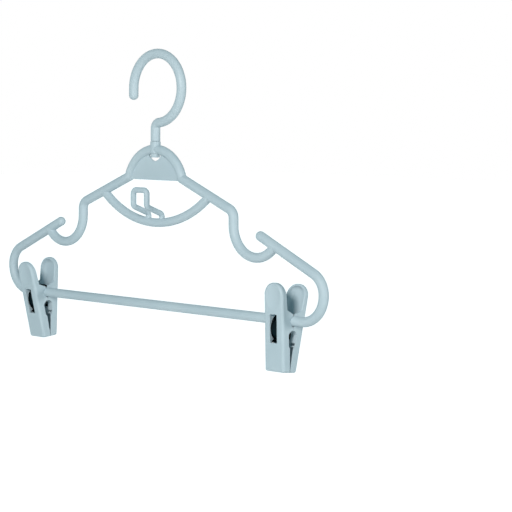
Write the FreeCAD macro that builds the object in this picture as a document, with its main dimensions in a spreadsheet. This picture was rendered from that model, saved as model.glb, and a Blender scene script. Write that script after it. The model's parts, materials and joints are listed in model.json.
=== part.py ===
"""Clip hanger: a one-piece rod frame, a swivel hook and two sliding spring clips.

Millimetres. +X runs along the hanger's width, +Z is up and -Y is the front, where the cascade loop stands.
The origin lies on the swivel axis, level with the centre of the hook's bend, where the rail passes.
"""
import FreeCAD, Part
import math
import os
import re

import Sketcher

doc = FreeCAD.newDocument("clip_hanger")
sheet = doc.addObject("Spreadsheet::Sheet", "Size")

SIZES = {
    # Rods of the frame and the hook
    "rod_dia": 7.0,
    "scarf_dia": 6.5,
    "loop_dia": 4.2,
    # Hook
    "hook_radius": 25.0,
    "hook_offset": 1.7,
    "hook_leg": 5.1,
    "neck_bend": 4.4,
    "seam_drop": 38.6,
    # Swivel pin and its boss
    "pin_dia": 4.4,
    "pin_clearance": 0.06,
    "pin_play": 0.12,
    "pin_head_dia": 7.0,
    "pin_end_dia": 6.3,
    "pin_head_length": 3.0,
    "boss_dia": 7.6,
    "boss_length": 8.6,
    "seam_round": 0.4,
    # Arch, its web and the window in the web
    "arch_step": 2.3,
    "arch_radius": 29.0,
    "arch_end": 17.0,
    "web_rise": 6.6,
    "web_thick": 1.6,
    "window_radius": 6.6,
    "window_drop": 5.7,
    "head_clearance": 0.4,
    # Inner arm, strap notch, outer arm and end bend
    "arm_slope": 22.6,
    "notch_x": 79.3,
    "corner_radius": 6.8,
    "notch_run": 9.5,
    "notch_radius": 21.5,
    "notch_end": 35.0,
    "outer_slope": 24.9,
    "tip_overhang": 13.2,
    "end_x": 163.3,
    "end_height": 29.3,
    "end_radius": 16.0,
    # Scarf bar and the cascade loop in front of it
    "scarf_span": 55.5,
    "scarf_sag": 24.5,
    "loop_pitch": 14.0,
    "loop_leg": 6.6,
    "loop_reach": 15.2,
    "loop_rise": 5.7,
    "loop_height": 11.9,
    "loop_bend": 2.8,
    "loop_corner": 3.0,
    # Clips on the bottom bar: distance from the hanger's end and rest angle about the bar
    "left_clip_inset": 32.9,
    "right_clip_inset": 35.1,
    "left_swing": 5.7,
    "right_swing": -5.7,
    # Clip jaw
    "jaw_width": 17.4,
    "jaw_wall": 1.7,
    "channel_wall": 0.9,
    "jaw_above": 25.3,
    "jaw_below": 35.5,
    "jaw_tip_depth": 6.9,
    "jaw_flare": 7.6,
    "jaw_gap": 0.1,
    "saddle_clearance": 0.05,
    "saddle_wall": 1.4,
    "opening_half": 18.0,
    "relief_half": 1.8,
    "relief_drop": 1.0,
    "shoulder_height": 7.2,
    "pad_root_depth": 5.3,
    "pad_edge_depth": 4.2,
    "pad_corner": 8.4,
    "jaw_round": 2.0,
    "dish_width": 13.0,
    "dish_length": 19.0,
    "dish_depth": 0.9,
    "lens_top": 6.5,
    "lens_widest": 9.6,
    "lens_half_width": 4.2,
    "lens_foot_half": 3.1,
    "lens_round": 5.2,
    "lip_drop": 17.6,
    "lip_thick": 1.0,
    "lip_groove": 1.8,
    "wedge_half": 2.0,
    "tip_block": 4.6,
    "hollow_blend": 3.6,
    "rim_soft": 0.5,
    "slot_width": 6.3,
    "slot_above": 3.6,
    "slot_below": 15.8,
    "seat_thick": 1.4,
    "seat_height": 2.6,
    "tip_round": 1.6,
    # Leaf spring of a clip
    "strip_width": 5.8,
    "strip_thick": 0.5,
    "strip_bulge": 10.0,
    "strip_middle": 5.2,
    "strip_radius": 10.6,
    "strip_bow": 6.0,
    "strip_arm_drop": 12.8,
    "strip_bend": 0.9,
    "strip_foot": 1.7,
    "strip_foot_slope": 30.0,
    "strip_clearance": 0.15,
}
for row, (alias, number) in enumerate(SIZES.items(), start=1):
    sheet.set(f"A{row}", alias)
    sheet.set(f"B{row}", str(number))
    sheet.setAlias(f"B{row}", alias)
doc.recompute()


# Formulas of the sheet's sizes, and sketches held by them

def formula(text):
    """An expression for a property: each size named in the text is read from the sheet."""
    return re.sub(r"[a-z_]+", lambda word: f"Size.{word[0]}" if word[0] in SIZES else word[0], str(text))


def value(text):
    """The number that a formula stands for."""
    return float(sheet.evalExpression(formula(text)))


def bind(feature, **formulas):
    """Tie a feature's properties to formulas."""
    for name, text in formulas.items():
        feature.setExpression(name, formula(text))


def sketch_on(body, name, role, offset="0", tilt="0"):
    """A sketch on one of its body's own planes, moved along the plane's normal and tilted about its X."""
    plane = next(item for item in body.Origin.OriginFeatures if item.Role == role)
    sketch = body.newObject("Sketcher::SketchObject", name)
    sketch.AttachmentSupport = [(plane, "")]
    sketch.MapMode = "FlatFace"
    sketch.AttachmentOffset = FreeCAD.Placement(
        FreeCAD.Vector(0, 0, value(offset)), FreeCAD.Rotation(FreeCAD.Vector(1, 0, 0), value(tilt)))
    sketch.setExpression("AttachmentOffset.Base.z", formula(offset))
    if tilt != "0":
        sketch.setExpression("AttachmentOffset.Rotation.Angle", formula(tilt))
    return sketch


def hold(sketch, kind, text, *points):
    """Add a dimension to a sketch and tie it to a formula."""
    index = sketch.addConstraint(Sketcher.Constraint(kind, *points, value(text)))
    sketch.setExpression(f"Constraints[{index}]", formula(text))


def hold_point(sketch, edge, end, x, y):
    """Hold one end of an edge at a place given by two formulas."""
    hold(sketch, "DistanceX", x, -1, 1, edge, end)
    hold(sketch, "DistanceY", y, -1, 1, edge, end)


def arc_between(start, end, radius, turn):
    """The arc from start to end that bends left or right; a long one is over half a circle."""
    middle = (start + end) * 0.5
    chord = end - start
    height = math.sqrt(max(radius ** 2 - (chord.Length / 2) ** 2, 0.0))
    leftward = FreeCAD.Vector(-chord.y, chord.x, 0).normalize()
    side = 1 if turn in ("left", "long right") else -1
    centre = middle + leftward * (side * height)
    first, last = (start, end) if "left" in turn else (end, start)
    angles = [math.atan2(point.y - centre.y, point.x - centre.x) for point in (first, last)]
    return Part.ArcOfCircle(Part.Circle(centre, FreeCAD.Vector(0, 0, 1), radius), *angles)


def draw(sketch, corners, closed=True):
    """Lines and arcs from corner to corner.

    A corner is (x, y) where a line leaves it, or (x, y, radius, turn) where an arc does.
    """
    points = [FreeCAD.Vector(value(corner[0]), value(corner[1]), 0) for corner in corners]
    count = len(corners) if closed else len(corners) - 1
    ends = []
    for number in range(count):
        start, end = points[number], points[(number + 1) % len(points)]
        if len(corners[number]) == 2:
            edge = sketch.addGeometry(Part.LineSegment(start, end))
            ends.append((edge, 1, 2))
            continue
        radius, turn = corners[number][2:]
        edge = sketch.addGeometry(arc_between(start, end, value(radius), turn))
        hold(sketch, "Radius", radius, edge)
        ends.append((edge, 1, 2) if "left" in turn else (edge, 2, 1))
    for number, (edge, near, far) in enumerate(ends):
        hold_point(sketch, edge, near, *corners[number][:2])
        if number + 1 < count or closed:
            following = ends[(number + 1) % count]
            sketch.addConstraint(Sketcher.Constraint("Coincident", edge, far, following[0], following[1]))
        else:
            hold_point(sketch, edge, far, *corners[number + 1][:2])


def draw_circle(sketch, diameter):
    """A circle about the sketch's own origin."""
    circle = sketch.addGeometry(Part.Circle(FreeCAD.Vector(), FreeCAD.Vector(0, 0, 1), value(diameter) / 2))
    sketch.addConstraint(Sketcher.Constraint("Coincident", circle, 3, -1, 1))
    hold(sketch, "Diameter", diameter, circle)


def draw_bent(sketch, corners):
    """An open run of straight lines, with a tangent bend of the given radius at each inner corner."""
    points = [FreeCAD.Vector(value(corner[0]), value(corner[1]), 0) for corner in corners]
    start = points[0]
    joints = []
    for number in range(1, len(points)):
        before = (points[number] - points[number - 1]).normalize()
        if number == len(points) - 1:
            joints.append((sketch.addGeometry(Part.LineSegment(start, points[number])), None))
            break
        after = (points[number + 1] - points[number]).normalize()
        radius = value(corners[number][2])
        reach = radius * math.tan(before.getAngle(after) / 2)
        bend_start, bend_end = points[number] - before * reach, points[number] + after * reach
        turn = "left" if before.cross(after).z > 0 else "right"
        line = sketch.addGeometry(Part.LineSegment(start, bend_start))
        bend = sketch.addGeometry(arc_between(bend_start, bend_end, radius, turn))
        joints.append((line, (bend, turn)))
        start = bend_end
    hold_point(sketch, joints[0][0], 1, *corners[0][:2])
    hold_point(sketch, joints[-1][0], 2, *corners[-1][:2])
    for number, (line, bend) in enumerate(joints[:-1], start=1):
        edge, turn = bend
        following = joints[number][0]
        near, far = (1, 2) if turn == "left" else (2, 1)
        sketch.addConstraint(Sketcher.Constraint("Tangent", line, 2, edge, near))
        sketch.addConstraint(Sketcher.Constraint("Tangent", edge, far, following, 1))
        hold(sketch, "Radius", corners[number][2], edge)
        corner = sketch.addGeometry(Part.Point(points[number]), True)
        sketch.addConstraint(Sketcher.Constraint("PointOnObject", corner, 1, line))
        sketch.addConstraint(Sketcher.Constraint("PointOnObject", corner, 1, following))
        hold_point(sketch, corner, 1, *corners[number][:2])


def section_at_start(body, path):
    """An empty sketch square to the start of a path, in the middle of it."""
    section = body.newObject("Sketcher::SketchObject", f"{path.Name}_section")
    section.AttachmentSupport = [(path, "Edge1")]
    section.MapMode = "NormalToEdge"
    section.MapPathParameter = 0.0
    return section


def sweep(body, path, section):
    """A solid made by carrying a section along every edge of a path."""
    doc.recompute()
    pipe = body.newObject("PartDesign::AdditivePipe", f"{path.Name}_sweep")
    pipe.Profile = section
    pipe.Spine = (path, [f"Edge{number + 1}" for number in range(len(path.Shape.Edges))])
    return pipe


def rod(body, path, diameter):
    """A round rod along a path."""
    section = section_at_start(body, path)
    draw_circle(section, diameter)
    return sweep(body, path, section)


def ball(body, name, diameter, x, y, z):
    """A ball that rounds off the end of a rod."""
    sphere = body.newObject("PartDesign::AdditiveSphere", name)
    sphere.Placement = FreeCAD.Placement(FreeCAD.Vector(value(x), value(y), value(z)), FreeCAD.Rotation())
    bind(sphere, Radius=f"{diameter} / 2")
    for axis, text in zip("xyz", (x, y, z)):
        sphere.setExpression(f"Placement.Base.{axis}", formula(text))
    return sphere


def mirror(body, name):
    """Everything made so far, once more on the other side of the hanger's middle."""
    doc.recompute()
    plane = next(item for item in body.Origin.OriginFeatures if item.Role == "YZ_Plane")
    mirrored = body.newObject("PartDesign::Mirrored", name)
    mirrored.TransformMode = "Whole shape"
    mirrored.MirrorPlane = (plane, [""])
    body.Tip = mirrored


def pad(body, sketch, length, both_ways=False):
    """A solid as thick as the given length, on the side the sketch faces or half to each side."""
    feature = body.newObject("PartDesign::Pad", f"{sketch.Name}_pad")
    feature.Profile = sketch
    feature.SideType = "Symmetric" if both_ways else "One side"
    bind(feature, Length=length)
    return feature


def pocket(body, sketch, length, both_ways=False):
    """A cut as deep as the given length, away from the side the sketch faces or half to each side."""
    doc.recompute()
    before = body.Shape.Volume
    feature = body.newObject("PartDesign::Pocket", f"{sketch.Name}_cut")
    feature.Profile = sketch
    feature.SideType = "Symmetric" if both_ways else "One side"
    bind(feature, Length=length)
    doc.recompute()
    if body.Shape.Volume >= before:
        raise RuntimeError(f"{feature.Name} cuts nothing")
    return feature


def fillet(body, name, radius, wanted):
    """Round every edge of the body that the test picks."""
    doc.recompute()
    base = body.Tip
    edges = [f"Edge{number}" for number, edge in enumerate(base.Shape.Edges, start=1) if wanted(edge)]
    if not edges:
        raise RuntimeError(f"{name} finds no edge")
    feature = body.newObject("PartDesign::Fillet", name)
    feature.Base = (base, edges)
    bind(feature, Radius=radius)
    return feature


# Places on the frame that several features share

ARCH_DROP = "(seam_drop + arch_step + rod_dia / 2 + arch_radius)"
ARCH_END_X = "(arch_radius * cos(arch_end))"
ARCH_END_Z = f"(arch_radius * sin(arch_end) - {ARCH_DROP})"
CORNER_Z = f"({ARCH_END_Z} - (notch_x - {ARCH_END_X}) * tan(arm_slope))"
NOTCH_Z = f"({CORNER_Z} - notch_run)"
JOINT_X = "(notch_x + notch_radius * (1 + cos(notch_end)))"
JOINT_Z = f"({NOTCH_Z} - notch_radius * sin(notch_end))"
TIP_X = f"({JOINT_X} - tip_overhang)"
TIP_Z = f"({JOINT_Z} + tip_overhang * tan(outer_slope))"
END_Z = f"({JOINT_Z} - (end_x - {JOINT_X}) * tan(outer_slope))"
BAR_Z = f"({END_Z} - end_height)"
BEND_LEFT = "(end_height - end_radius * tan((90 - outer_slope) / 2))"
SCARF_Z = f"(-{ARCH_DROP} - scarf_sag)"
SCARF_END_Z = f"({ARCH_END_Z} - (scarf_span - {ARCH_END_X}) * tan(arm_slope))"
SCARF_RISE = f"({SCARF_END_Z} - {SCARF_Z})"
SCARF_RADIUS = f"((scarf_span * scarf_span + {SCARF_RISE} * {SCARF_RISE}) / (2 * {SCARF_RISE}))"
BOSS_END_Z = "(-seam_drop - boss_length)"
TOUCH = 0.01


def hanger_frame():
    """The one-piece moulding: bar, ends, outer arms, strap notches, inner arms, arch, scarf bar and loop."""
    body = doc.addObject("PartDesign::Body", "hanger_frame")

    bar = sketch_on(body, "bar_path", "XZ_Plane")
    draw(bar, [
        ("0", BAR_Z),
        (f"end_x - {BEND_LEFT}", BAR_Z, BEND_LEFT, "left"),
        ("end_x", f"{BAR_Z} + {BEND_LEFT}", "end_radius", "left"),
        ("end_x - end_radius * (1 - sin(outer_slope))",
         f"{BAR_Z} + {BEND_LEFT} + end_radius * cos(outer_slope)"),
        (TIP_X, TIP_Z),
    ], closed=False)
    rod(body, bar, "rod_dia")
    ball(body, "tip_ball", "rod_dia", TIP_X, "0", TIP_Z)

    arm = sketch_on(body, "arm_path", "XZ_Plane")
    corner_reach = "(corner_radius * tan((90 - arm_slope) / 2))"
    draw(arm, [
        (ARCH_END_X, ARCH_END_Z),
        (f"notch_x - {corner_reach} * cos(arm_slope)", f"{CORNER_Z} + {corner_reach} * sin(arm_slope)",
         "corner_radius", "right"),
        ("notch_x", f"{CORNER_Z} - {corner_reach}"),
        ("notch_x", NOTCH_Z, "notch_radius", "left"),
        (JOINT_X, JOINT_Z),
    ], closed=False)
    rod(body, arm, "rod_dia")
    ball(body, "arm_ball", "rod_dia", ARCH_END_X, "0", ARCH_END_Z)

    arch = sketch_on(body, "arch_path", "XZ_Plane")
    draw(arch, [("0", f"arch_radius - {ARCH_DROP}", "arch_radius", "right"), (ARCH_END_X, ARCH_END_Z)],
         closed=False)
    rod(body, arch, "rod_dia")

    scarf = sketch_on(body, "scarf_path", "XZ_Plane")
    draw(scarf, [("0", SCARF_Z, SCARF_RADIUS, "left"), ("scarf_span", SCARF_END_Z)], closed=False)
    rod(body, scarf, "scarf_dia")

    legs_end = f"({SCARF_Z} + loop_leg + loop_rise + loop_height / 2)"
    leg = sketch_on(body, "leg_path", "YZ_Plane", offset="loop_pitch / 2")
    draw_bent(leg, [
        ("0", SCARF_Z),
        ("0", f"{SCARF_Z} + loop_leg", "loop_bend"),
        ("-loop_reach", f"{SCARF_Z} + loop_leg + loop_rise", "loop_bend"),
        ("-loop_reach", legs_end),
    ])
    hoop = sketch_on(body, "hoop_path", "XZ_Plane", offset="loop_reach")
    draw_bent(hoop, [
        ("loop_pitch / 2", legs_end),
        ("loop_pitch / 2", f"{legs_end} + loop_height / 2", "loop_corner"),
        ("0", f"{legs_end} + loop_height / 2"),
    ])
    rod(body, leg, "loop_dia")
    rod(body, hoop, "loop_dia")
    mirror(body, "other_half")

    web = sketch_on(body, "web_outline", "XZ_Plane")
    web_half = "sqrt(arch_radius * arch_radius - web_rise * web_rise)"
    draw(web, [
        (f"-{web_half}", f"web_rise - {ARCH_DROP}"),
        (web_half, f"web_rise - {ARCH_DROP}", "arch_radius", "left"),
    ])
    pad(body, web, "web_thick", both_ways=True)

    boss = sketch_on(body, "boss_outline", "XY_Plane", offset=BOSS_END_Z)
    draw_circle(boss, "boss_dia")
    pad(body, boss, "boss_length")

    def boss_rim(edge):
        return all(abs(vertex.Z + value("seam_drop")) < TOUCH for vertex in edge.Vertexes)

    fillet(body, "boss_softening", "seam_round", boss_rim)

    window = sketch_on(body, "window_outline", "XZ_Plane")
    window_half = "sqrt(window_radius ^ 2 - (window_radius - window_drop) ^ 2)"
    draw(window, [
        (f"-{window_half}", BOSS_END_Z, "window_radius", "left"),
        ("0", f"{BOSS_END_Z} - window_drop", "window_radius", "left"),
        (window_half, BOSS_END_Z),
    ])
    pocket(body, window, "web_thick", both_ways=True)

    well = sketch_on(body, "well_outline", "XY_Plane", offset=BOSS_END_Z)
    draw_circle(well, "pin_head_dia + 2 * head_clearance")
    pocket(body, well, "pin_play + pin_head_length + head_clearance")

    bore = sketch_on(body, "bore_outline", "XY_Plane", offset="-seam_drop")
    draw_circle(bore, "pin_dia + 2 * pin_clearance")
    pocket(body, bore, "boss_length")
    return body


def swivel_hook():
    """The hook: a bent rod with a round free end, and a headed pin under its neck."""
    body = doc.addObject("PartDesign::Body", "swivel_hook")
    bend_x = "(neck_bend - hook_offset)"
    bend_span = "(hook_radius + neck_bend)"
    bend_z = f"sqrt({bend_span} * {bend_span} - {bend_x} * {bend_x})"
    seat_z = "(pin_play - seam_drop)"
    path = sketch_on(body, "hook_path", "XZ_Plane")
    draw(path, [
        ("0", seat_z),
        ("0", f"-{bend_z}", "neck_bend", "right"),
        (f"hook_offset + hook_radius * {bend_x} / {bend_span}", f"-hook_radius * {bend_z} / {bend_span}",
         "hook_radius", "long left"),
        ("hook_offset - hook_radius", "0"),
        ("hook_offset - hook_radius", "-hook_leg"),
    ], closed=False)
    rod(body, path, "rod_dia")
    ball(body, "hook_ball", "rod_dia", "hook_offset - hook_radius", "0", "-hook_leg")

    def neck_rim(edge):
        return all(abs(vertex.Z - value(seat_z)) < TOUCH for vertex in edge.Vertexes)

    fillet(body, "neck_softening", "seam_round", neck_rim)

    head_z = f"({BOSS_END_Z} - pin_play)"
    pin = sketch_on(body, "pin_outline", "XZ_Plane")
    draw(pin, [
        ("0", seat_z),
        ("0", f"{head_z} - pin_head_length"),
        ("pin_end_dia / 2", f"{head_z} - pin_head_length"),
        ("pin_head_dia / 2", f"{head_z} - pin_play"),
        ("pin_head_dia / 2", head_z),
        ("pin_dia / 2", head_z),
        ("pin_dia / 2", seat_z),
    ])
    turned = body.newObject("PartDesign::Revolution", "pin")
    turned.Profile = pin
    turned.ReferenceAxis = (pin, ["V_Axis"])
    turned.Angle = 360
    return body


# Places on a jaw: its depth is counted from the clip's middle towards its own outer face

SADDLE = "(rod_dia / 2 + saddle_clearance)"
SADDLE_TOP = f"({SADDLE} + saddle_wall)"
ARM_DEPTH = "(strip_bulge - strip_radius)"
ARM_SIN = "((strip_arm_drop - strip_middle) / strip_radius)"
ARM_COS = f"sqrt(1 - {ARM_SIN} ^ 2)"
BEND_DEPTH = f"({ARM_DEPTH} + (strip_radius + strip_bend) * {ARM_COS})"
BEND_DROP = f"(strip_middle + (strip_radius + strip_bend) * {ARM_SIN})"


def outer_depth(height):
    """How deep a jaw's flared outer face lies at a height above the bar's axis."""
    return f"(jaw_tip_depth + (jaw_below + ({height})) * tan(jaw_flare))"


def jaw(label):
    """Half a clip: a thumb pad, side walls that ride on the bar in half-round saddles, and a gripping tip."""
    body = doc.addObject("PartDesign::Body", label)
    rim_root = f"({outer_depth('shoulder_height')} - pad_root_depth)"
    rim_edge = f"({outer_depth('jaw_above')} - pad_edge_depth)"
    side = sketch_on(body, "side_outline", "YZ_Plane")
    draw(side, [
        ("-jaw_gap", "-jaw_below"),
        ("-wedge_half", "-lip_drop - lip_thick"),
        ("-lens_foot_half", "-lip_drop"),
        ("-lens_half_width", "-lens_widest", "lens_round", "right"),
        ("-jaw_gap", "-lens_top"),
        ("-jaw_gap", f"-{SADDLE} - relief_drop"),
        ("-relief_half", f"-sqrt({SADDLE} ^ 2 - relief_half ^ 2)", SADDLE, "right"),
        (f"-{SADDLE} * sin(opening_half)", f"{SADDLE} * cos(opening_half)"),
        (f"-{SADDLE_TOP} * sin(opening_half)", f"{SADDLE_TOP} * cos(opening_half)"),
        (f"-{rim_root}", "shoulder_height"),
        (f"-{rim_edge}", "jaw_above"),
        (f"-{outer_depth('jaw_above')}", "jaw_above"),
        ("-jaw_tip_depth", "-jaw_below"),
    ])
    pad(body, side, "jaw_width", both_ways=True)

    top = value("jaw_above")
    bottom = -value("jaw_below")

    def top_corner(edge):
        ends = [vertex.Point for vertex in edge.Vertexes]
        return abs(ends[0].x - ends[-1].x) < TOUCH and all(abs(end.z - top) < TOUCH for end in ends)

    def outer_rim(edge):
        middle = edge.valueAt((edge.FirstParameter + edge.LastParameter) / 2)
        on_face = abs(middle.y + value(outer_depth(middle.z))) < TOUCH
        return on_face and middle.z > bottom + TOUCH

    def tip_edge(edge):
        middle = edge.valueAt((edge.FirstParameter + edge.LastParameter) / 2)
        inner = all(abs(vertex.Y + value("jaw_gap")) < TOUCH for vertex in edge.Vertexes)
        return abs(middle.z - bottom) < TOUCH and not inner

    fillet(body, "pad_round", "pad_corner", top_corner)
    fillet(body, "rim_round", "jaw_round", outer_rim)
    fillet(body, "tip_rounding", "tip_round", tip_edge)

    # The hollows follow the flared wall: a spoon over the bar, a groove over the lip and a channel behind the tip
    floor = f"({outer_depth('0')} - jaw_wall / cos(jaw_flare))"
    hollow = sketch_on(body, "hollow_outline", "XZ_Plane", offset=floor, tilt="jaw_flare")
    hollow_half = "(jaw_width / 2 - jaw_wall)"
    hollow_top = "((jaw_above - jaw_wall) / cos(jaw_flare))"
    hollow_round = "(pad_corner - jaw_wall)"
    spoon_foot = f"(slot_above - {outer_depth('0')} * tan(jaw_flare))"
    draw(hollow, [
        (f"-{hollow_half}", f"{spoon_foot} / cos(jaw_flare)"),
        (hollow_half, f"{spoon_foot} / cos(jaw_flare)"),
        (hollow_half, f"{hollow_top} - {hollow_round}", hollow_round, "left"),
        (f"{hollow_half} - {hollow_round}", hollow_top),
        (f"{hollow_round} - {hollow_half}", hollow_top, hollow_round, "left"),
        (f"-{hollow_half}", f"{hollow_top} - {hollow_round}"),
    ])
    groove = ("-lip_drop", "lip_groove - lip_drop")
    channel = ("tip_block - jaw_below", "-lip_drop - lip_thick")
    channel_half = "(jaw_width / 2 - channel_wall)"
    for low, high in (groove, channel):
        draw(hollow, [
            (f"-{channel_half}", f"({low}) / cos(jaw_flare)"),
            (channel_half, f"({low}) / cos(jaw_flare)"),
            (channel_half, f"({high}) / cos(jaw_flare)"),
            (f"-{channel_half}", f"({high}) / cos(jaw_flare)"),
        ])
    pocket(body, hollow, outer_depth("jaw_above"))

    def hollow_floor(edge):
        middle = edge.valueAt((edge.FirstParameter + edge.LastParameter) / 2)
        on_floor = abs(middle.y + value(outer_depth(middle.z)) - value("jaw_wall / cos(jaw_flare)")) < TOUCH
        return on_floor and middle.z > value(spoon_foot) + TOUCH

    fillet(body, "spoon_blend", "hollow_blend", hollow_floor)

    def pad_rim(edge):
        middle = edge.valueAt((edge.FirstParameter + edge.LastParameter) / 2)
        height = (middle.z - value("shoulder_height")) / value("jaw_above - shoulder_height")
        depth = value(rim_root) + height * value(f"{rim_edge} - {rim_root}")
        return height > TOUCH and abs(middle.y + depth) < TOUCH

    fillet(body, "rim_softening", "rim_soft", pad_rim)

    slot = sketch_on(body, "slot_outline", "XZ_Plane", offset=outer_depth("jaw_above"))
    draw(slot, [
        ("-slot_width / 2", "-slot_below"),
        ("slot_width / 2", "-slot_below"),
        ("slot_width / 2", "slot_above"),
        ("-slot_width / 2", "slot_above"),
    ])
    pocket(body, slot, outer_depth("jaw_above"))

    # The spring's seat is a bracket that stands on the lip, just inside the strip's bend
    seat_face = f"({BEND_DEPTH} - strip_bend - strip_thick / 2 - strip_clearance)"
    seat_root = f"({outer_depth('-slot_below')} - jaw_wall / 2)"
    seat = sketch_on(body, "seat_outline", "YZ_Plane")
    draw(seat, [
        (f"-{seat_root}", "-lip_drop"),
        (f"seat_thick - {seat_face}", "-lip_drop"),
        (f"seat_thick - {seat_face}", "seat_height - slot_below"),
        (f"-{seat_face}", "seat_height - slot_below"),
        (f"-{seat_face}", "-slot_below"),
        (f"-{seat_root}", "-slot_below"),
    ])
    pad(body, seat, "slot_width", both_ways=True)

    # The thumb's dish is the cap of an ellipsoid five times as deep as the dish
    dish = body.newObject("PartDesign::SubtractiveEllipsoid", "thumb_dish")
    plane = next(item for item in body.Origin.OriginFeatures if item.Role == "XZ_Plane")
    dish.AttachmentSupport = [(plane, "")]
    dish.MapMode = "FlatFace"
    dish.AttachmentOffset = FreeCAD.Placement(
        FreeCAD.Vector(), FreeCAD.Rotation(FreeCAD.Vector(1, 0, 0), value("jaw_flare")))
    dish_height = "((shoulder_height + jaw_above) / 2)"
    dish.setExpression("AttachmentOffset.Base.y", formula(f"{dish_height} - 4 * dish_depth * sin(jaw_flare)"))
    dish.setExpression(
        "AttachmentOffset.Base.z", formula(f"{outer_depth(dish_height)} + 4 * dish_depth * cos(jaw_flare)"))
    bind(dish, Radius1="5 * dish_depth", Radius2="dish_width / 1.2", Radius3="dish_length / 1.2")
    return body


def leaf_spring(label):
    """The clip's steel strip: a bow over the bar and two arms that bulge out through the jaws' slots."""
    body = doc.addObject("PartDesign::Body", label)
    bow_z = f"(sqrt((strip_radius - strip_bow) ^ 2 - {ARM_DEPTH} ^ 2) - strip_middle)"
    bow_y = f"(-{ARM_DEPTH} / (strip_radius - strip_bow))"
    bow_up = f"(({bow_z} + strip_middle) / (strip_radius - strip_bow))"

    def half(side, outward):
        """One arm's corners from its foot up to the bow, on the strip's outer or inner face."""
        bend = f"(strip_bend - {outward})"
        foot_y = f"({BEND_DEPTH} - {bend} * sin(strip_foot_slope))"
        foot_z = f"({BEND_DROP} + {bend} * cos(strip_foot_slope))"
        places = [
            (f"({foot_y} + strip_foot * cos(strip_foot_slope))",
             f"-({foot_z} + strip_foot * sin(strip_foot_slope))"),
            (foot_y, f"-{foot_z}"),
            (f"({ARM_DEPTH} + (strip_radius + {outward}) * {ARM_COS})",
             f"-(strip_middle + (strip_radius + {outward}) * {ARM_SIN})"),
            (f"((strip_bow + {outward}) * {bow_y})", f"({bow_z} + (strip_bow + {outward}) * {bow_up})"),
        ]
        return [(f"{side} * {depth}", height) for depth, height in places]

    def face(outward):
        """Corners along one face of the strip, from the front foot to the back foot, with their arcs."""
        front = half("-1", outward)
        back = half("1", outward)[::-1]
        bend, arm, bow = (f"(strip_bend - {outward})", f"(strip_radius + {outward})", f"(strip_bow + {outward})")
        arcs = [(), (bend, "left"), (arm, "right"), (bow, "right"), (arm, "right"), (bend, "left"), (), ()]
        return [place + arc for place, arc in zip(front + back, arcs)]

    def reversed_face(corners):
        """The same corners walked the other way round."""
        other_way = {"left": "right", "right": "left"}
        walked = []
        for number in range(len(corners) - 1, -1, -1):
            arc = corners[number - 1][2:] if number else ()
            walked.append(corners[number][:2] + ((arc[0], other_way[arc[1]]) if arc else ()))
        return walked

    outline = sketch_on(body, "strip_outline", "YZ_Plane")
    draw(outline, face("strip_thick / 2") + reversed_face(face("(-strip_thick / 2)")))
    pad(body, outline, "strip_width", both_ways=True)
    return body


def place_on_bar(body, clip_x, swing, turned=0):
    """Set a clip's piece on the bottom bar, turned about the bar; the back jaw also faces the other way."""
    rotation = FreeCAD.Rotation(FreeCAD.Vector(1, 0, 0), value(swing))
    facing = FreeCAD.Rotation(FreeCAD.Vector(0, 0, 1), turned)
    body.Placement = FreeCAD.Placement(FreeCAD.Vector(value(clip_x), 0, value(BAR_Z)), rotation * facing)
    return body


pieces = [hanger_frame(), swivel_hook()]
for hand, clip_x in (("left", "left_clip_inset - end_x"), ("right", "end_x - right_clip_inset")):
    where = (clip_x, f"{hand}_swing")
    pieces.append(place_on_bar(jaw(f"{hand}_front_jaw"), *where))
    pieces.append(place_on_bar(jaw(f"{hand}_back_jaw"), *where, turned=180))
    pieces.append(place_on_bar(leaf_spring(f"{hand}_spring"), *where))
doc.recompute()

for item in doc.Objects:
    if "Invalid" in item.State or "Error" in item.State:
        raise RuntimeError(f"{item.Name} failed: {item.State}")
for piece in pieces:
    if piece.Shape.isNull() or not piece.Shape.isValid() or len(piece.Shape.Solids) != 1:
        raise RuntimeError(f"{piece.Label} is not one valid solid")

os.makedirs("parts", exist_ok=True)
for piece in pieces:
    piece.Shape.exportStep(f"parts/{piece.Label}.step")
    print(piece.Label, round(piece.Shape.Volume), "mm3")
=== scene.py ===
"""Clip hanger: satin plastic frame, hook and clips, with bent steel strips, seen as in the photograph.

Metres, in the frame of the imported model: +X along the hanger, -Y to its front, +Z up.
"""
import json
import math

import bmesh
import bpy
from mathutils import Matrix, Vector


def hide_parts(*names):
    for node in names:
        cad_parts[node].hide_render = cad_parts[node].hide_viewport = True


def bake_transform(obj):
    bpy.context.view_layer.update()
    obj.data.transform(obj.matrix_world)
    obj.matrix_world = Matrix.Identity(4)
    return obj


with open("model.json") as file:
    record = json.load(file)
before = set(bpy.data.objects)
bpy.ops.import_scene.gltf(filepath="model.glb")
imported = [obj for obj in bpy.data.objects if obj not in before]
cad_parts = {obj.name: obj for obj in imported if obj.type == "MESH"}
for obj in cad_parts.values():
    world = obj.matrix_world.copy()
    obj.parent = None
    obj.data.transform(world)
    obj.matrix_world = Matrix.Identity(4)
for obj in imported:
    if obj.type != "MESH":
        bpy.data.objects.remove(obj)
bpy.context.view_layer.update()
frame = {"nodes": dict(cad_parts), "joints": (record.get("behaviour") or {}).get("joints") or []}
nodes = frame["nodes"]
joints = {joint["name"]: joint for joint in frame["joints"]}
MM = 0.001
HANDS = ("left", "right")
ACROSS = Vector((1.0, 0.0, 0.0))
SQUARE_CORNERS = ((-1, -1), (1, -1), (1, 1), (-1, 1))
WHITE = (1.0, 1.0, 1.0, 1.0)

# Places of shader sockets that share their name with others of the same node

MATH_FIRST, MATH_SECOND = 0, 1
SHADER_FIRST, SHADER_SECOND = 1, 2
TONE_FACTOR, TONE_FIRST, TONE_SECOND, TONE_RESULT = 0, 6, 7, 2


# Materials

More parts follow.
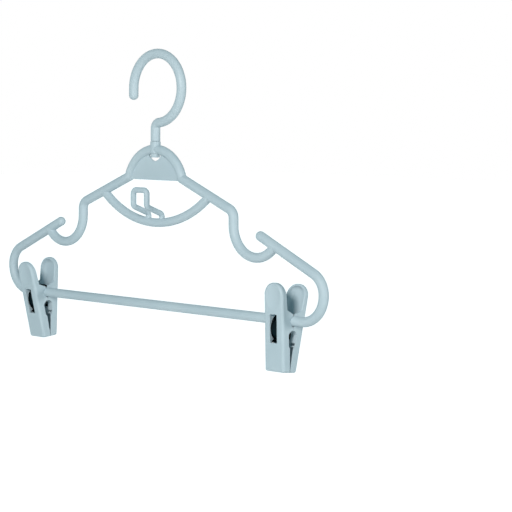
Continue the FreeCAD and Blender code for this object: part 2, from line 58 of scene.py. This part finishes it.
NOISE_LOW, NOISE_HIGH = 0.3, 0.7
CLOUD = {"Scale": 30.0, "Detail": 2.0, "Roughness": 0.45}
SKIN = {"Scale": 1300.0, "Detail": 2.0, "Roughness": 0.5}
FLOW = {"Scale": 140.0, "Detail": 4.0, "Roughness": 0.6}
STREAKS = {"Scale": 1.0, "Detail": 3.0, "Roughness": 0.6}
STREAK_STRETCH = (6000.0, 500.0, 500.0)
PLASTIC = {"IOR": 1.49, "Specular_IOR_Level": 0.3}
SHEEN_SPREAD = 0.03
SKIN_BUMP = {"Strength": 0.04, "Distance": 0.03 * MM}
SOFT_EDGE = {"samples": 6, "Radius": 0.45 * MM}
STEEL = {"Metallic": 1.0, "Specular_Tint": (0.14, 0.17, 0.19, 1.0)}
STEEL_DARK, STEEL_LIGHT = (0.004, 0.009, 0.011), (0.010, 0.019, 0.023)
STEEL_SMOOTH, STEEL_ROUGH = 0.30, 0.48


def add(tree, kind, **values):
    """A shader node with some of its sockets or settings set."""
    node = tree.nodes.new(kind)
    for name, number in values.items():
        socket = node.inputs.get(name.replace("_", " "))
        if socket is None:
            setattr(node, name, number)
        else:
            socket.default_value = number
    return node


def shader(name, **values):
    """A new material, its node tree and its main shader."""
    material = bpy.data.materials.new(name)
    material.use_nodes = True
    tree = material.node_tree
    main = tree.nodes["Principled BSDF"]
    for socket, number in values.items():
        main.inputs[socket.replace("_", " ")].default_value = number
    return material, tree, main


def noise(tree, place, settings):
    """A noise texture's pattern at a place."""
    texture = add(tree, "ShaderNodeTexNoise", **settings)
    tree.links.new(place, texture.inputs["Vector"])
    return texture.outputs["Fac"]


def spread(tree, source, low, high):
    """A texture's middle range spread between two numbers."""
    ranged = add(
        tree, "ShaderNodeMapRange", From_Min=NOISE_LOW, From_Max=NOISE_HIGH, To_Min=low, To_Max=high)
    tree.links.new(source, ranged.inputs["Value"])
    return ranged.outputs["Result"]


def two_tones(tree, main, pattern, first, second):
    """Gives the main shader a colour that a pattern takes from one tone to another."""
    tone = add(tree, "ShaderNodeMix", data_type="RGBA")
    tone.inputs[TONE_FIRST].default_value = (*first, 1.0)
    tone.inputs[TONE_SECOND].default_value = (*second, 1.0)
    tree.links.new(spread(tree, pattern, 0.0, 1.0), tone.inputs[TONE_FACTOR])
    tree.links.new(tone.outputs[TONE_RESULT], main.inputs["Base Color"])


def moulded_plastic(name, pale, deep, roughness, softened_edges=False):
    """Satin moulded plastic with a cloudy tone, an uneven sheen and a very fine skin."""
    material, tree, main = shader(name, **PLASTIC)
    place = add(tree, "ShaderNodeTexCoord").outputs["Object"]
    two_tones(tree, main, noise(tree, place, CLOUD), deep, pale)
    flow = noise(tree, place, FLOW)
    sheen = spread(tree, flow, roughness - SHEEN_SPREAD, roughness + SHEEN_SPREAD)
    tree.links.new(sheen, main.inputs["Roughness"])
    bump = add(tree, "ShaderNodeBump", **SKIN_BUMP)
    if softened_edges:
        edges = add(tree, "ShaderNodeBevel", **SOFT_EDGE)
        tree.links.new(edges.outputs["Normal"], bump.inputs["Normal"])
    tree.links.new(noise(tree, place, SKIN), bump.inputs["Height"])
    tree.links.new(bump.outputs["Normal"], main.inputs["Normal"])
    return material


def dark_steel(name):
    """Blued spring steel with fine rolling streaks along the strip."""
    material, tree, main = shader(name, **STEEL)
    place = add(tree, "ShaderNodeTexCoord").outputs["Object"]
    stretch = add(tree, "ShaderNodeMapping", Scale=STREAK_STRETCH)
    tree.links.new(place, stretch.inputs["Vector"])
    streaks = noise(tree, stretch.outputs["Vector"], STREAKS)
    two_tones(tree, main, streaks, STEEL_DARK, STEEL_LIGHT)
    tree.links.new(spread(tree, streaks, STEEL_SMOOTH, STEEL_ROUGH), main.inputs["Roughness"])
    return material


frame_plastic = moulded_plastic(
    "frame_plastic", pale=(0.470, 0.572, 0.618), deep=(0.435, 0.540, 0.590), roughness=0.50)
hook_plastic = moulded_plastic(
    "hook_plastic", pale=(0.478, 0.578, 0.622), deep=(0.445, 0.548, 0.596), roughness=0.48)
clip_plastic = moulded_plastic(
    "clip_plastic", pale=(0.462, 0.565, 0.613), deep=(0.428, 0.535, 0.586), roughness=0.52,
    softened_edges=True)
spring_steel = dark_steel("spring_steel")

finishes = {"hanger_frame": frame_plastic, "swivel_hook": hook_plastic}
for hand in HANDS:
    finishes[f"{hand}_front_jaw"] = clip_plastic
    finishes[f"{hand}_back_jaw"] = clip_plastic
    finishes[f"{hand}_spring"] = spring_steel
for name, material in finishes.items():
    for material_slot in nodes[name].material_slots:
        material_slot.material = material


# The clips' steel strips, each swept in its rest shape over the bar

STRIP = {
    "width": 5.8 * MM, "thick": 0.5 * MM, "bulge": 10.0 * MM, "middle": 5.2 * MM, "radius": 10.6 * MM,
    "bow": 6.0 * MM, "arm_drop": 12.8 * MM, "bend": 0.9 * MM, "foot": 1.7 * MM,
    "foot_slope": math.radians(30.0),
}
BEND_STEPS, ARM_STEPS, BOW_STEPS = 10, 24, 10
SHARP_ANGLE = math.radians(60.0)
EDGE_ROUNDING = {"offset": 0.08 * MM, "segments": 2, "profile": 0.5}
CLIP_SWING = {"left": math.radians(5.7), "right": math.radians(-5.7)}


def arc_points(centre, radius, start, end, steps):
    """Points on an arc in the strip's own plane, without the first one."""
    turns = [start + (end - start) * step / steps for step in range(1, steps + 1)]
    return [(centre[0] + radius * math.cos(turn), centre[1] + radius * math.sin(turn)) for turn in turns]


def strip_line():
    """The strip's middle line from the front foot over the bar to the back foot.

    Each point is its depth to the front and its height, both from the bar's axis.
    """
    size = STRIP
    arm_x = size["bulge"] - size["radius"]
    arm_turn = math.asin((size["arm_drop"] - size["middle"]) / size["radius"])
    reach = size["radius"] + size["bend"]
    bend = (arm_x + reach * math.cos(arm_turn), -size["middle"] - reach * math.sin(arm_turn))
    to_bow = size["radius"] - size["bow"]
    bow_turn = math.acos(-arm_x / to_bow)
    bow = (0.0, to_bow * math.sin(bow_turn) - size["middle"])
    slope = size["foot_slope"]
    drop, run = math.sin(slope), math.cos(slope)
    foot_start = (bend[0] - size["bend"] * drop, bend[1] - size["bend"] * run)
    foot_end = (foot_start[0] + size["foot"] * run, foot_start[1] - size["foot"] * drop)
    half = [foot_end, foot_start]
    half += arc_points(bend, size["bend"], -math.pi / 2 - slope, -math.pi - arm_turn, BEND_STEPS)
    half += arc_points((arm_x, -size["middle"]), size["radius"], -arm_turn, bow_turn, ARM_STEPS)
    half += arc_points(bow, size["bow"], bow_turn, math.pi / 2, BOW_STEPS)
    return half + [(-depth, height) for depth, height in reversed(half[:-1])]


def strip_mesh(name):
    """A flat band with softened edges, swept along the strip's middle line."""
    line = [Vector((0.0, -depth, height)) for depth, height in strip_line()]
    shape = bmesh.new()
    rings = []
    for number, point in enumerate(line):
        before = line[max(number - 1, 0)]
        after = line[min(number + 1, len(line) - 1)]
        outward = (after - before).normalized().cross(ACROSS)
        ring = []
        for side, face in SQUARE_CORNERS:
            offset = ACROSS * (side * STRIP["width"] / 2) + outward * (face * STRIP["thick"] / 2)
            ring.append(shape.verts.new(point + offset))
        rings.append(ring)
    for ring, following in zip(rings, rings[1:]):
        for corner in range(len(ring)):
            other = (corner + 1) % len(ring)
            shape.faces.new((ring[corner], ring[other], following[other], following[corner]))
    shape.faces.new(rings[0][::-1])
    shape.faces.new(rings[-1])
    bmesh.ops.recalc_face_normals(shape, faces=shape.faces)
    sharp = [edge for edge in shape.edges if edge.calc_face_angle(0.0) > SHARP_ANGLE]
    bmesh.ops.bevel(shape, geom=sharp, affect="EDGES", **EDGE_ROUNDING)
    for face in shape.faces:
        face.smooth = True
    mesh = bpy.data.meshes.new(name)
    shape.to_mesh(mesh)
    shape.free()
    mesh.materials.append(spring_steel)
    return mesh


def strip_spring(hand):
    """One clip's strip, set on the bar at its rest angle in place of the model's own spring, which is
    hidden.
    """
    piece = bpy.data.objects.new(f"{hand}_strip", strip_mesh(f"{hand}_strip"))
    bpy.context.collection.objects.link(piece)
    pivot = Vector(joints[f"{hand}_clip_open"]["pos_m"])
    piece.matrix_world = Matrix.Translation(pivot) @ Matrix.Rotation(CLIP_SWING[hand], 4, "X")
    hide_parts(f"{hand}_spring")
    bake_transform(piece)


for hand in HANDS:
    strip_spring(hand)


# Stage: a white floor well under the hanging piece and a white surround

FLOOR_Z, FLOOR_HALF = -0.62, 12.0
FLOOR_COLOUR, FLOOR_GLOW, FLOOR_ROUGHNESS = (0.80, 0.80, 0.80, 1.0), 0.95, 0.9
FILL = {"Color": (0.36, 0.88, 1.0, 1.0), "Strength": 0.22}


def direct_sight(tree):
    """One for rays that show a thing to the camera, in a gloss or through glass, and none for its light."""
    rays = add(tree, "ShaderNodeLightPath")
    seen = rays.outputs["Is Camera Ray"]
    for name in ("Is Glossy Ray", "Is Transmission Ray"):
        either = add(tree, "ShaderNodeMath", operation="MAXIMUM")
        tree.links.new(seen, either.inputs[MATH_FIRST])
        tree.links.new(rays.outputs[name], either.inputs[MATH_SECOND])
        seen = either.outputs["Value"]
    return seen


def floor_white(name):
    """A pale matt surface with a glow that is seen but lights nothing, so that it keeps its shadows."""
    material, tree, main = shader(
        name, Base_Color=FLOOR_COLOUR, Roughness=FLOOR_ROUGHNESS, Emission_Color=WHITE)
    glow = add(tree, "ShaderNodeMath", operation="MULTIPLY")
    glow.inputs[MATH_SECOND].default_value = FLOOR_GLOW
    tree.links.new(direct_sight(tree), glow.inputs[MATH_FIRST])
    tree.links.new(glow.outputs["Value"], main.inputs["Emission Strength"])
    return material


corners = [(FLOOR_HALF * x, FLOOR_HALF * y, FLOOR_Z) for x, y in SQUARE_CORNERS]
floor_mesh = bpy.data.meshes.new("floor")
floor_mesh.from_pydata(corners, [], [range(len(corners))])
floor_mesh.materials.append(floor_white("floor_white"))
floor = bpy.data.objects.new("floor", floor_mesh)
bpy.context.collection.objects.link(floor)

world = bpy.data.worlds.new("surround")
bpy.context.scene.world = world
world.use_nodes = True
sky = world.node_tree
fill = add(sky, "ShaderNodeBackground", **FILL)
white = add(sky, "ShaderNodeBackground", Color=WHITE, Strength=1.0)
choose = add(sky, "ShaderNodeMixShader")
sky.links.new(direct_sight(sky), choose.inputs["Fac"])
sky.links.new(fill.outputs["Background"], choose.inputs[SHADER_FIRST])
sky.links.new(white.outputs["Background"], choose.inputs[SHADER_SECOND])
sky.links.new(choose.outputs["Shader"], sky.nodes["World Output"].inputs["Surface"])


# Soft lamps in front of the hanger, beside it and behind it

LAMP_SIZE = 0.35
LAMP_TINT = (1.0, 0.945, 0.92)
MIDDLE = Vector((0.0, 0.0, -0.09))


def soft_lamp(name, place, power, in_gloss=True):
    """A square area lamp that faces the middle of the hanger; a gloss need not show it."""
    lamp = bpy.data.lights.new(name, "AREA")
    lamp.shape = "SQUARE"
    lamp.size = LAMP_SIZE
    lamp.energy = power
    lamp.color = LAMP_TINT
    holder = bpy.data.objects.new(name, lamp)
    bpy.context.collection.objects.link(holder)
    holder.location = place
    holder.visible_glossy = in_gloss
    holder.rotation_euler = (MIDDLE - Vector(place)).to_track_quat("-Z", "Y").to_euler()


soft_lamp("front", place=(0.67, -1.26, 0.37), power=17.9)
soft_lamp("side", place=(1.40, 0.51, 0.04), power=6.6)
soft_lamp("back", place=(-1.02, 1.10, 0.25), power=15.0, in_gloss=False)


# Camera at the photograph's place, worked out for a square picture of 512 by 512

AZIMUTH, ELEVATION, ROLL = math.radians(42.93), math.radians(4.76), math.radians(0.49)
FOCAL_PIXELS, PICTURE = 1710.31, 512
ORIGIN_PIXEL, ORIGIN_DISTANCE = (155.67, 88.15), 1.2434
SENSOR_WIDTH, CLIP_START = 36.0, 0.01

right = Vector((math.cos(AZIMUTH), math.sin(AZIMUTH), 0.0))
level = math.cos(ELEVATION)
back = Vector((math.sin(AZIMUTH) * level, -math.cos(AZIMUTH) * level, math.sin(ELEVATION)))
up = back.cross(right)
rolled_right = math.cos(ROLL) * right + math.sin(ROLL) * up
rolled_up = math.cos(ROLL) * up - math.sin(ROLL) * right
sideways = (ORIGIN_PIXEL[0] - PICTURE / 2) * ORIGIN_DISTANCE / FOCAL_PIXELS
upwards = (PICTURE / 2 - ORIGIN_PIXEL[1]) * ORIGIN_DISTANCE / FOCAL_PIXELS
standpoint = back * ORIGIN_DISTANCE - rolled_right * sideways - rolled_up * upwards

lens = bpy.data.cameras.new("camera")
lens.sensor_width = SENSOR_WIDTH
lens.sensor_fit = "HORIZONTAL"
lens.lens = FOCAL_PIXELS / PICTURE * SENSOR_WIDTH
lens.clip_start = CLIP_START
camera = bpy.data.objects.new("camera", lens)
bpy.context.collection.objects.link(camera)
aim = Matrix((rolled_right, rolled_up, back)).transposed().to_4x4()
camera.matrix_world = Matrix.Translation(standpoint) @ aim
bpy.context.scene.camera = camera
bpy.context.scene.view_settings.view_transform = "Standard"
